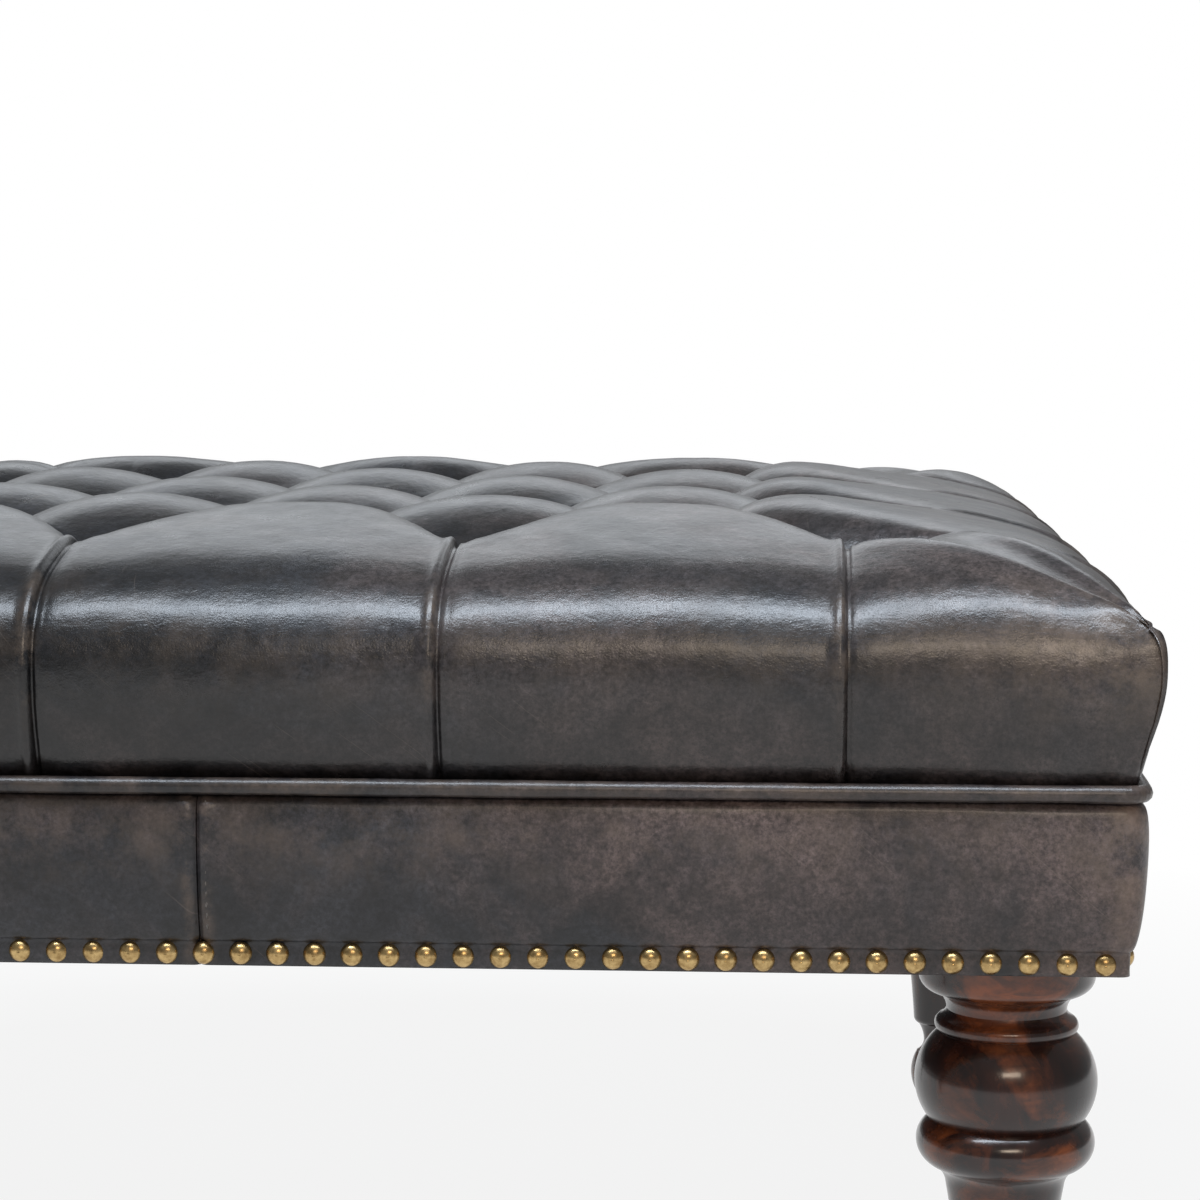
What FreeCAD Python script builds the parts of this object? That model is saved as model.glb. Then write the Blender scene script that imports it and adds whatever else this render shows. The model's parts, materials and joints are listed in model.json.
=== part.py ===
import FreeCAD, Part
import math
import os
import re
import Sketcher

from FreeCAD import Placement, Rotation, Vector

# Driving sizes in millimetres, and counts
SIZES = {
    # The whole
    "side_length": 800,
    "apron_bottom": 240,
    "apron_inset": 9,
    "corner_round": 12,
    "leather": 1.5,
    "fit": 0.3,
    # Wooden frame
    "rail_height": 79,
    "rail_thickness": 25,
    "cross_rail_height": 50,
    "cross_rail_spacing": 260,
    "board_thickness": 12,
    "board_inset": 13.5,
    "board_hole_radius": 4,
    "block_leg": 100,
    "block_end": 34,
    "block_height": 45,
    # Dowels and screws
    "dowel_radius": 4,
    "dowel_bite": 17,
    "dowel_tail": 28,
    "dowel_spread": 15,
    "screw_radius": 2.2,
    "screw_head_radius": 4.5,
    "screw_head_height": 3.5,
    "screw_bite": 17,
    "block_screw_place": 72,
    "block_screw_spread": 11,
    "block_screw_seat": 26,
    "board_screw_bite": 9,
    "board_screw_seat": 20,
    "board_screw_spacing": 200,
    "board_screw_count": 4,
    # Turned legs, from the collar down
    "leg_inset": 58,
    "leg_collar_radius": 40,
    "leg_collar_height": 10.5,
    "leg_ogee_radius": 35,
    "leg_ogee_height": 7.3,
    "leg_ogee_bulge": 1.4,
    "leg_neck_radius": 27.2,
    "leg_neck_height": 8.9,
    "leg_neck_hollow": 2.2,
    "leg_bead_radius": 30.8,
    "leg_bead_rise": 3.8,
    "leg_bead_hollow": 0.5,
    "leg_bead_height": 6.3,
    "leg_bead_bulge": 1.8,
    "leg_ball_height": 40.5,
    "leg_ball_bulge": 8.4,
    "leg_ring_radius": 35,
    "leg_ring_height": 21,
    "leg_ring_bulge": 6.1,
    "leg_cove_radius": 33.8,
    "leg_cove_height": 9.2,
    "leg_cove_hollow": 1.6,
    "leg_shaft_radius": 26.9,
    "leg_shaft_hollow": 1.2,
    "leg_shoulder_radius": 17.7,
    "leg_shoulder_height": 4.5,
    "leg_shoulder_bulge": 0.9,
    "leg_ankle_top_radius": 14.6,
    "leg_ankle_height": 12.3,
    "leg_ankle_hollow": 1,
    "leg_ankle_radius": 10.8,
    "leg_flare_height": 7,
    "leg_flare_hollow": 1,
    "leg_foot_radius": 15.5,
    "leg_foot_height": 29.5,
    "leg_foot_bulge": 4.2,
    "leg_pad_radius": 14.5,
    # Leg fixings and glides
    "bolt_radius": 4,
    "bolt_bite": 45,
    "bolt_stand": 2,
    "tee_barrel_radius": 5.5,
    "tee_barrel_length": 10,
    "tee_flange_radius": 11,
    "tee_flange_thickness": 1.6,
    "glide_radius": 13,
    "glide_thickness": 4,
    "glide_pin_radius": 1.5,
    "glide_pin_length": 15,
    # Apron band, its wadding, nails and the cloth below
    "band_hang": 1.5,
    "nail_strip": 11,
    "bulge_height": 60,
    "band_seam": -18,
    "seam_gap": 0.2,
    "nail_radius": 5.2,
    "nail_dome": 3.4,
    "nail_height": 5.6,
    "nail_end": 18.6,
    "nail_count": 47,
    "dust_cloth": 0.6,
    "dust_cloth_margin": 2.5,
    # Welt between seat and apron
    "welt_radius": 3.95,
    "welt_proud": 1.5,
    "welt_cord_radius": 3,
    "welt_flange": 22,
    "welt_flange_stop": 16,
    # Tufted seat
    "seat_height": 116,
    "seat_tuck": 7,
    "seat_bulge": 6,
    "seat_lip": 33,
    "wall_height": 46,
    "wall_swell": 13,
    "crown_rise": 5,
    "crown_step": 39,
    "roll_depth": 60,
    "roll_drop": 12,
    "shoulder_drop": 26,
    "pleat_crest": 49,
    "pleat_shelf": 46,
    "pleat_roll": 19,
    "pleat_shoulder": 30,
    "corner_height": 75,
    "corner_set": 4,
    "corner_crest": 109,
    "corner_lean": 20,
    "wadding": 4,
    "tuft_pitch": 179,
    "tuft_count": 4,
    "tuft_depth": 36,
    "pleat_drop": 14,
    "foam_hole_radius": 8,
    "twine_radius": 1.2,
    "button_radius": 9,
    "button_slope": 1.4,
    "button_dome": 3.5,
}

# Places worked out from the driving sizes
PLACES = {
    "half": "side_length / 2",
    "rail_face": "half - apron_inset",
    "rail_back": "rail_face - rail_thickness",
    "rail_bottom": "apron_bottom + band_hang",
    "rail_middle": "rail_bottom + rail_height / 2",
    "rail_top": "rail_bottom + rail_height",
    "rail_round": "corner_round - apron_inset",
    "seat_base": "rail_top + leather",
    "board_bottom": "seat_base + leather",
    "board_top": "board_bottom + board_thickness",
    "board_edge": "half - board_inset",
    "seat_top": "seat_base + seat_height",
    "cross_rail_bottom": "board_bottom - cross_rail_height",
    "cross_rail_place": "cross_rail_spacing / 2",
    "block_middle": "rail_bottom + block_height / 2",
    "block_top": "rail_bottom + block_height",
    "block_screw_length": "block_screw_seat + screw_bite",
    "dowel_length": "dowel_bite + dowel_tail",
    "leg_place": "half - leg_inset",
    "leg_bottom": "glide_thickness",
    "ogee_level": "rail_bottom - leg_collar_height",
    "scotia_level": "ogee_level - leg_ogee_height",
    "neck_level": "scotia_level - leg_neck_height",
    "bead_level": "neck_level - leg_bead_rise",
    "ball_level": "bead_level - leg_bead_height",
    "ring_level": "ball_level - leg_ball_height",
    "cove_level": "ring_level - leg_ring_height",
    "shaft_level": "cove_level - leg_cove_height",
    "foot_level": "leg_bottom + leg_foot_height",
    "ankle_level": "foot_level + leg_flare_height",
    "ankle_top_level": "ankle_level + leg_ankle_height",
    "shoulder_level": "ankle_top_level + leg_shoulder_height",
    "bulge_level": "apron_bottom + bulge_height",
    "strip_level": "apron_bottom + nail_strip",
    "nail_level": "apron_bottom + nail_height",
    "band_foot": "apron_inset - leather",
    "welt_inset": "welt_radius - welt_proud",
    "welt_level": "rail_top + leather / 2",
    "welt_room": "(welt_radius + fit) * sqrt(2)",
    "tuck_level": "welt_level - welt_room",
    "tuft_edge": "tuft_pitch * (tuft_count - 1) / 2",
    "tuft_level": "seat_top - tuft_depth",
    "button_foot": "tuft_level + button_slope * twine_radius",
    "button_rim": "tuft_level + button_slope * button_radius",
}

doc = FreeCAD.newDocument("TuftedOttoman")
sheet = doc.addObject("Spreadsheet::Sheet", "Sizes")
for row, (name, number) in enumerate(SIZES.items(), start=1):
    sheet.set(f"A{row}", name)
    sheet.set(f"B{row}", str(number))
    sheet.setAlias(f"B{row}", name)
doc.recompute()

pieces = []


def formula(text):
    """The text with each place spelled out and each size read from the sheet."""
    def spell(word):
        name = word.group(0)
        if name in PLACES:
            return "(" + formula(PLACES[name]) + ")"
        return "Sizes." + name if name in SIZES else name
    return re.sub(r"[a-z_]+", spell, str(text))


def size(text):
    return float(sheet.evalExpression(formula(text)))


def count(name):
    return int(round(size(name)))


def bind(thing, **texts):
    for prop, text in texts.items():
        thing.setExpression(prop.replace("__", "."), formula(text))


def place(thing, x, y, z):
    bind(thing, Placement__Base__x=x, Placement__Base__y=y, Placement__Base__z=z)


def piece(thing, label):
    thing.Label = label
    pieces.append(thing)


# Part primitives, each bound to the sheet
TURNS = {
    "up": Rotation(),
    "down": Rotation(Vector(1, 0, 0), 180),
    "right": Rotation(Vector(0, 1, 0), 90),
    "left": Rotation(Vector(0, 1, 0), -90),
    "rearward": Rotation(Vector(1, 0, 0), -90),
    "forward": Rotation(Vector(1, 0, 0), 90),
}
WAYS = {
    "up": (0, 0, 1),
    "right": (1, 0, 0),
    "left": (-1, 0, 0),
    "rearward": (0, 1, 0),
    "forward": (0, -1, 0),
}
OPPOSITE = {"up": "down", "right": "left", "left": "right", "rearward": "forward", "forward": "rearward"}


def box(x, y, z, length, width, height):
    thing = doc.addObject("Part::Box", "Block")
    bind(thing, Length=length, Width=width, Height=height)
    place(thing, x, y, z)
    return thing


def rod(radius, height, x, y, z, way="up"):
    """A cylinder that starts at a point and runs the given way."""
    thing = doc.addObject("Part::Cylinder", "Rod")
    thing.Placement = Placement(Vector(), TURNS[way])
    bind(thing, Radius=radius, Height=height)
    place(thing, x, y, z)
    return thing


def dome(radius, rise, x, y, z, way="up"):
    """The cap of a ball, standing on a round base at a point."""
    ball = f"((({radius})^2 + ({rise})^2) / 2 / ({rise}))"
    sunk = f"({ball} - ({rise}))"
    thing = doc.addObject("Part::Sphere", "Dome")
    thing.Placement = Placement(Vector(), TURNS[way])
    bind(thing, Radius=ball, Angle1=f"asin({sunk} / {ball})")
    place(thing, *(f"{spot} - {step} * {sunk}" for spot, step in zip((x, y, z), WAYS[way])))
    return thing


def group(things):
    bundle = doc.addObject("Part::Compound", "Group")
    bundle.Links = things
    return bundle


def cut(base, tools):
    result = doc.addObject("Part::Cut", "Cut")
    result.Base = base
    result.Tool = group(tools)
    return result


def fuse(base, tool):
    result = doc.addObject("Part::Fuse", "Fuse")
    result.Base = base
    result.Tool = tool
    return result


def feature(shape):
    thing = doc.addObject("Part::Feature", "Shaped")
    thing.Shape = shape
    thing.Placement = Placement()
    return thing


# Bodies and their sketches
def new_body():
    return doc.addObject("PartDesign::Body", "Body")


def new_sketch(body, plane, offset=None):
    sketch = body.newObject("Sketcher::SketchObject", "Sketch")
    origin = next(item for item in body.Origin.OriginFeatures if item.Role == plane)
    sketch.AttachmentSupport = (origin, "")
    sketch.MapMode = "FlatFace"
    if offset:
        bind(sketch, AttachmentOffset__Base__z=offset)
    return sketch


def dimension(sketch, kind, where, text):
    held = sketch.addConstraint(Sketcher.Constraint(kind, *where, size(text)))
    sketch.setExpression(f"Constraints[{held}]", formula(text))


def pin_point(sketch, edge, end, x, y):
    """Hold one end of a sketch edge at a place given by two formulas."""
    for kind, axis, text in (("DistanceX", -2, x), ("DistanceY", -1, y)):
        if text == "0":
            sketch.addConstraint(Sketcher.Constraint("PointOnObject", edge, end, axis))
        else:
            dimension(sketch, kind, (edge, end), text)


def point(spot):
    return Vector(size(spot[0]), size(spot[1]), 0)


def run(sketch, start, end):
    """One edge: straight, or an arc that bulges to the right of its way. Gives its end numbers too."""
    a, b, bulge = point(start), point(end), start[2]
    if not bulge:
        return sketch.addGeometry(Part.LineSegment(a, b)), (1, 2)
    way = b - a
    middle = (a + b) * 0.5 + Vector(way.y, -way.x, 0).normalize() * size(bulge)
    turns_left = size(bulge) > 0
    edge = sketch.addGeometry(Part.Arc(a, middle, b) if turns_left else Part.Arc(b, middle, a))
    chord = f"(({end[0]}) - ({start[0]}))^2 + (({end[1]}) - ({start[1]}))^2"
    dimension(sketch, "Radius", (edge,), f"({chord}) / 8 / abs({bulge}) + abs({bulge}) / 2")
    return edge, (1, 2) if turns_left else (2, 1)


def outline(sketch, points, closed=True):
    """Edges through points (x, y, bulge of the edge that follows), each held by its formulas."""
    ahead = points[1:] + points[:1] if closed else points[1:]
    edges = [run(sketch, here, there) for here, there in zip(points, ahead)]
    for (edge, (first, last)), here in zip(edges, points):
        pin_point(sketch, edge, first, here[0], here[1])
    for (edge, (first, last)), (after, (begin, end)) in zip(edges, edges[1:]):
        sketch.addConstraint(Sketcher.Constraint("Coincident", edge, last, after, begin))
    edge, (first, last) = edges[-1]
    if closed:
        sketch.addConstraint(Sketcher.Constraint("Coincident", edge, last, edges[0][0], edges[0][1][0]))
    else:
        pin_point(sketch, edge, last, points[-1][0], points[-1][1])


def circle(sketch, x, y, radius):
    edge = sketch.addGeometry(Part.Circle(Vector(size(x), size(y), 0), Vector(0, 0, 1), size(radius)))
    pin_point(sketch, edge, 3, x, y)
    dimension(sketch, "Radius", (edge,), radius)


def rectangle(x0, y0, x1, y1):
    return [(x0, y0, None), (x1, y0, None), (x1, y1, None), (x0, y1, None)]


def pad(body, sketch, length):
    result = body.newObject("PartDesign::Pad", "Pad")
    result.Profile = sketch
    bind(result, Length=length)


def drill(body, sketch):
    """Cut the sketch right through, both ways."""
    result = body.newObject("PartDesign::Pocket", "Pocket")
    result.Profile = sketch
    result.Type = "ThroughAll"
    result.Midplane = True
    return result


def revolve(body, sketch):
    result = body.newObject("PartDesign::Revolution", "Revolution")
    result.Profile = sketch
    result.ReferenceAxis = (sketch, ["V_Axis"])
    result.Angle = 360


CORNERS = {"front_left": (-1, -1), "front_right": (1, -1), "rear_left": (-1, 1), "rear_right": (1, 1)}


def at_corners(x, y):
    """A place near the right rear corner, at all four corners."""
    return [(f"{sx} * ({x})", f"{sy} * ({y})") for sx, sy in CORNERS.values()]


# Wooden frame
def dowels():
    """Each dowel: the two rails that it joins, its start and its way."""
    found = []
    rails = {
        "left_rail": "-(rail_back + rail_thickness / 2)",
        "right_rail": "rail_back + rail_thickness / 2",
        "cross_rail_left": "-cross_rail_place",
        "cross_rail_right": "cross_rail_place",
    }
    for side, sign, way in (("front_rail", "-", "rearward"), ("rear_rail", "", "forward")):
        for joined, x in rails.items():
            for z in ("rail_middle - dowel_spread", "rail_middle + dowel_spread"):
                found.append(((side, joined), x, f"{sign}(rail_back + dowel_bite)", z, way))
    return found


def block_screws():
    """Each corner block screw: its block and its rail, the seat of its head and its way."""
    found = []
    seat = "(rail_back - block_screw_seat)"
    along = "(rail_back - block_screw_place)"
    for corner, (sx, sy) in CORNERS.items():
        long_rail, long_way = ("front_rail", "forward") if sy < 0 else ("rear_rail", "rearward")
        end_rail, end_way = ("left_rail", "left") if sx < 0 else ("right_rail", "right")
        for z in ("block_middle - block_screw_spread", "block_middle + block_screw_spread"):
            found.append(((corner, long_rail), f"{sx} * {along}", f"{sy} * {seat}", z, long_way))
            found.append(((corner, end_rail), f"{sx} * {seat}", f"{sy} * {along}", z, end_way))
    return found


def rail_holes(label):
    holes = [rod("dowel_radius", "dowel_length", *spot) for rails, *spot in dowels() if label in rails]
    return holes + [rod("screw_radius", "block_screw_length", *spot) for owners, *spot in block_screws()
                    if label in owners]


def long_rail(label, sign):
    """A rail from corner to corner, with its two outer edges rounded for the leather."""
    body = new_body()
    sketch = new_sketch(body, "XY_Plane", "rail_bottom")
    bulge = f"{-sign} * rail_round * (1 - sqrt(0.5))"
    face, back, soft = (f"{sign} * {level}" for level in ("rail_face", "rail_back", "(rail_face - rail_round)"))
    outline(sketch, [
        ("-(rail_face - rail_round)", face, None),
        ("rail_face - rail_round", face, bulge),
        ("rail_face", soft, None),
        ("rail_face", back, None),
        ("-rail_face", back, None),
        ("-rail_face", soft, bulge),
    ])
    pad(body, sketch, "rail_height")
    piece(cut(body, rail_holes(label)), label)


def end_rail(label, x):
    whole = box(x, "-rail_back", "rail_bottom", "rail_thickness", "2 * rail_back", "rail_height")
    piece(cut(whole, rail_holes(label)), label)


def board_screws(x):
    """Where the screws of one cross rail stand."""
    total = count("board_screw_count")
    return [(x, f"{i - (total - 1) / 2} * board_screw_spacing") for i in range(total)]


def cross_rail(label, x):
    """A rail from front to rear under the board, with sunk holes for the board's screws."""
    low = "cross_rail_bottom"
    whole = box(f"{x} - rail_thickness / 2", "-rail_back", low, "rail_thickness", "2 * rail_back", "cross_rail_height")
    holes = rail_holes(label)
    for spot in board_screws(x):
        holes.append(rod("screw_radius", "cross_rail_height", *spot, low))
        holes.append(rod("screw_head_radius + fit", "cross_rail_height - board_screw_seat", *spot, low))
    piece(cut(whole, holes), label)


def corner_block(corner, sx, sy):
    """A five-sided block screwed into a corner of the rails. It takes the leg's bolt."""
    body = new_body()
    sketch = new_sketch(body, "XY_Plane", "rail_bottom")
    shape = (("0", "0"), ("block_leg", "0"), ("block_leg", "block_end"), ("block_end", "block_leg"), ("0", "block_leg"))
    outline(sketch, [(f"{sx} * (rail_back - {p})", f"{sy} * (rail_back - {q})", None) for p, q in shape])
    pad(body, sketch, "block_height")
    axis = (f"{sx} * leg_place", f"{sy} * leg_place")
    tools = [
        rod("bolt_radius + fit", "block_height", *axis, "rail_bottom"),
        rod("tee_barrel_radius", "tee_barrel_length", *axis, "block_top - tee_barrel_length"),
    ]
    for (owner, _), x, y, z, way in block_screws():
        if owner == corner:
            tools.append(rod("screw_radius", "block_screw_seat", x, y, z, way))
            tools.append(rod("screw_head_radius + fit", "block_leg", x, y, z, OPPOSITE[way]))
    piece(cut(body, tools), f"corner_block_{corner}")


def screw(length, x, y, z, way):
    """A screw whose head stands behind its seat and whose shank runs ahead of it."""
    shank = rod("screw_radius", length, x, y, z, way)
    return fuse(shank, rod("screw_head_radius", "screw_head_height", x, y, z, OPPOSITE[way]))


def frame_fasteners():
    piece(group([rod("dowel_radius", "dowel_length", *spot) for _, *spot in dowels()]), "frame_dowels")
    piece(group([screw("block_screw_length", *spot) for _, *spot in block_screws()]), "corner_block_screws")
    upward = board_screws("-cross_rail_place") + board_screws("cross_rail_place")
    driven = [screw("board_screw_seat + board_screw_bite", *spot, "board_bottom - board_screw_seat", "up")
              for spot in upward]
    piece(group(driven), "board_screws")


def tuft_board():
    """The plywood board under the seat, with a hole for the twine of each button and each screw."""
    body = new_body()
    sketch = new_sketch(body, "XY_Plane", "board_bottom")
    outline(sketch, rectangle("-board_edge", "-board_edge", "board_edge", "board_edge"))
    pad(body, sketch, "board_thickness")
    total = count("tuft_count")
    for rows, first in ((total, "-tuft_edge"), (total - 1, "(tuft_pitch / 2 - tuft_edge)")):
        column = new_sketch(body, "XY_Plane", "board_bottom")
        for i in range(rows):
            circle(column, first, f"{first} + {i} * tuft_pitch", "board_hole_radius")
        doc.recompute()
        pattern_x(body, drill(body, column), column, rows)
    doc.recompute()
    bites = [rod("screw_radius", "board_screw_bite", *spot, "board_bottom")
             for x in ("-cross_rail_place", "cross_rail_place") for spot in board_screws(x)]
    piece(cut(body, bites), "tuft_board")


def pattern_x(body, hole, sketch, copies):
    """The holes of one column, repeated across the board."""
    pattern = body.newObject("PartDesign::LinearPattern", "Pattern")
    pattern.Originals = [hole]
    pattern.Direction = (sketch, ["H_Axis"])
    pattern.Occurrences = copies
    bind(pattern, Length=f"tuft_pitch * {copies - 1}")
    body.Tip = pattern


def frame():
    long_rail("front_rail", -1)
    long_rail("rear_rail", 1)
    end_rail("left_rail", "-rail_face")
    end_rail("right_rail", "rail_back")
    cross_rail("cross_rail_left", "-cross_rail_place")
    cross_rail("cross_rail_right", "cross_rail_place")
    for corner, (sx, sy) in CORNERS.items():
        corner_block(corner, sx, sy)
    tuft_board()
    frame_fasteners()


# Turned legs and their fixings
def leg(corner, sx, sy):
    """One turning: collar, neck, bead, ball, ring, swept shaft, ankle and bun foot."""
    body = new_body()
    sketch = new_sketch(body, "XZ_Plane")
    outline(sketch, [
        ("0", "leg_bottom + glide_pin_length", None),
        ("glide_pin_radius", "leg_bottom + glide_pin_length", None),
        ("glide_pin_radius", "leg_bottom", None),
        ("leg_pad_radius", "leg_bottom", "leg_foot_bulge"),
        ("leg_foot_radius", "foot_level", "-leg_flare_hollow"),
        ("leg_ankle_radius", "ankle_level", "-leg_ankle_hollow"),
        ("leg_ankle_top_radius", "ankle_top_level", "leg_shoulder_bulge"),
        ("leg_shoulder_radius", "shoulder_level", "-leg_shaft_hollow"),
        ("leg_shaft_radius", "shaft_level", "-leg_cove_hollow"),
        ("leg_cove_radius", "cove_level", "leg_ring_bulge"),
        ("leg_ring_radius", "ring_level", "leg_ball_bulge"),
        ("leg_bead_radius", "ball_level", "leg_bead_bulge"),
        ("leg_bead_radius", "bead_level", "-leg_bead_hollow"),
        ("leg_neck_radius", "neck_level", "-leg_neck_hollow"),
        ("leg_ogee_radius", "scotia_level", "leg_ogee_bulge"),
        ("leg_collar_radius", "ogee_level", None),
        ("leg_collar_radius", "rail_bottom", None),
        ("bolt_radius", "rail_bottom", None),
        ("bolt_radius", "rail_bottom - bolt_bite", None),
        ("0", "rail_bottom - bolt_bite", None),
    ])
    revolve(body, sketch)
    place(body, f"{sx} * leg_place", f"{sy} * leg_place", "0")
    piece(body, f"{corner}_leg")


def leg_fixings():
    axes = at_corners("leg_place", "leg_place")
    length = "bolt_bite + block_height + tee_flange_thickness + bolt_stand"
    piece(group([rod("bolt_radius", length, *axis, "rail_bottom - bolt_bite") for axis in axes]), "hanger_bolts")
    nuts = []
    glides = []
    for axis in axes:
        barrel = rod("tee_barrel_radius", "tee_barrel_length", *axis, "block_top - tee_barrel_length")
        flange = rod("tee_flange_radius", "tee_flange_thickness", *axis, "block_top")
        bore = rod("bolt_radius", "tee_barrel_length + tee_flange_thickness", *axis, "block_top - tee_barrel_length")
        nuts.append(cut(fuse(barrel, flange), [bore]))
        pad_disc = rod("glide_radius", "glide_thickness", *axis, "0")
        glides.append(fuse(pad_disc, rod("glide_pin_radius", "glide_pin_length", *axis, "leg_bottom")))
    piece(group(nuts), "tee_nuts")
    piece(group(glides), "leg_glides")


def legs():
    for corner, (sx, sy) in CORNERS.items():
        leg(corner, sx, sy)
    leg_fixings()


# Apron band, wadding, welt, nails and dust cloth
def way_round(sketch, inset, start, end, sign):
    """A path round one side: from the front at start, round two corners, to the rear at end."""
    reach = f"(half - ({inset}))"
    turn = "(half - corner_round)"
    radius = f"(corner_round - ({inset}))"
    bulge = f"{sign} * {radius} * (1 - sqrt(0.5))"
    outline(sketch, [
        (start, f"-{reach}", None),
        (f"{sign} * {turn}", f"-{reach}", bulge),
        (f"{sign} * {reach}", f"-{turn}", None),
        (f"{sign} * {reach}", turn, bulge),
        (f"{sign} * {turn}", reach, None),
        (end, reach, None),
    ], closed=False)


def sweep(body, section, spine):
    doc.recompute()
    result = body.newObject("PartDesign::AdditivePipe", "Pipe")
    result.Profile = section
    result.Spine = (spine, [f"Edge{i + 1}" for i in range(len(spine.Shape.Edges))])
    doc.recompute()


def arc_bulge(run_in, run_up):
    """How far an arc stands off its chord, when it is upright at one end and comes in by run_in."""
    square = f"(({run_in})^2 + ({run_up})^2)"
    radius = f"({square} / 2 / ({run_in}))"
    return f"({radius} - sqrt({radius}^2 - {square} / 4))"


def apron_face(lift, top):
    """The apron's curve from the nail strip over the bulge to the welt, moved in by lift."""
    low_bulge = arc_bulge("band_foot", "bulge_height - nail_strip")
    high_bulge = arc_bulge("welt_inset", "tuck_level - bulge_level")
    return [
        (f"band_foot + {lift} - half", "strip_level", f"-{low_bulge}"),
        (f"{lift} - half", "bulge_level", f"-{high_bulge}"),
        (f"welt_inset + {lift} - half", "tuck_level", None),
        (f"{top} - half", "rail_top", None),
    ]


def turned_back(points):
    """The same open line of edges, drawn from its other end."""
    bulges = [bulge and bulge[1:] for _, _, bulge in points]
    return [(x, y, bulge) for (x, y, _), bulge in zip(points[::-1], bulges[-2::-1] + [None])]


def swept_side(label, points, sign):
    """A piece with this section, from the front seam round one end to the rear seam."""
    start = f"band_seam + {sign} * seam_gap / 2"
    body = new_body()
    section = new_sketch(body, "YZ_Plane", start)
    outline(section, points)
    spine = new_sketch(body, "XY_Plane", "apron_bottom")
    way_round(spine, "apron_inset", start, start, sign)
    sweep(body, section, spine)
    piece(body, label)


def apron_sides():
    outer = apron_face("0", "welt_inset + welt_room - leather / 2")
    inner = apron_face("leather", "apron_inset")
    foot = [("apron_inset - half", "apron_bottom", None), ("band_foot - half", "apron_bottom", None)]
    for label, sign in (("left", -1), ("right", 1)):
        swept_side(f"apron_band_{label}", outer + turned_back(inner) + foot, sign)
        swept_side(f"apron_wadding_{label}", inner, sign)


def ring(radius):
    """A round bar on the welt's line, from the seam at the rear all the way round."""
    body = new_body()
    start, end = "band_seam + seam_gap / 2", "band_seam - seam_gap / 2"
    section = new_sketch(body, "YZ_Plane", start)
    circle(section, "half - welt_inset", "welt_level", radius)
    spine = new_sketch(body, "XY_Plane", "welt_level")
    reach, turn = "(half - welt_inset)", "(half - corner_round)"
    bulge = "-(corner_round - welt_inset) * (1 - sqrt(0.5))"
    outline(spine, [
        (start, reach, None),
        (turn, reach, bulge),
        (reach, turn, None),
        (reach, f"-{turn}", bulge),
        (turn, f"-{reach}", None),
        (f"-{turn}", f"-{reach}", bulge),
        (f"-{reach}", f"-{turn}", None),
        (f"-{reach}", turn, bulge),
        (f"-{turn}", reach, None),
        (end, reach, None),
    ], closed=False)
    sweep(body, section, spine)
    return body


def welt():
    """A cord in a leather sleeve, whose flange is held between the rails and the seat."""
    cord = ring("welt_cord_radius")
    sleeve = ring("welt_radius")
    edge, stop = "(half - welt_inset)", "(half - welt_flange_stop)"
    inner = f"({edge} - welt_flange)"
    for x, y, length, width in (
        (f"-{stop}", f"-{edge}", f"2 * {stop}", "welt_flange"),
        (f"-{stop}", inner, f"2 * {stop}", "welt_flange"),
        (f"-{edge}", f"-{inner}", "welt_flange", f"2 * {inner}"),
        (inner, f"-{inner}", "welt_flange", f"2 * {inner}"),
    ):
        sleeve = fuse(sleeve, box(x, y, "rail_top", length, width, "leather"))
    piece(cut(sleeve, [cord]), "welt_cover")
    piece(cord, "welt_cord")


def nails():
    """A close row of domed nails along the foot of each side, half a step in on the left and right."""
    total = count("nail_count")
    step = f"((side_length - 2 * nail_end) / {total - 1})"
    face = "(half - band_foot)"
    rows = {"front": "forward", "rear": "rearward", "left": "left", "right": "right"}
    for side, way in rows.items():
        across, along, _ = WAYS[way]
        places = [i + 0.5 for i in range(total - 1)] if across else range(total)
        heads = []
        for steps in places:
            spot = f"({steps} * {step} - half + nail_end)"
            x, y = (f"{across} * {face}", spot) if across else (spot, f"{along} * {face}")
            heads.append(dome("nail_radius", "nail_dome", x, y, "nail_level", way))
        piece(group(heads), f"brass_nails_{side}")


def dust_cloth():
    edge = "(leg_place + leg_collar_radius + dust_cloth_margin)"
    below = "rail_bottom - dust_cloth"
    sheet_cloth = box(f"-{edge}", f"-{edge}", below, f"2 * {edge}", f"2 * {edge}", "dust_cloth")
    holes = [rod("leg_collar_radius + fit", "dust_cloth", *axis, below) for axis in at_corners("leg_place", "leg_place")]
    piece(cut(sheet_cloth, holes), "dust_cover")


def trim():
    apron_sides()
    welt()
    nails()
    dust_cloth()


# Tufted seat: curved patches sewn into skins, one inside the other
SLOPE_SHARE = 1.25


def surface(poles):
    """A face on a grid of poles: quadratic through three, cubic through more."""
    turns = []
    for poles_along in (len(poles), len(poles[0])):
        degree = 2 if poles_along == 3 else 3
        inner = poles_along - degree - 1
        turns.append((degree, [degree + 1] + inner * [1] + [degree + 1], list(range(inner + 2))))
    (degree_u, mults_u, knots_u), (degree_v, mults_v, knots_v) = turns
    patch = Part.BSplineSurface()
    patch.buildFromPolesMultsKnots(poles, mults_u, mults_v, knots_u, knots_v, False, False, degree_u, degree_v)
    return patch.toShape()


def blend(a, b, share):
    return a + (b - a) * share


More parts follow.
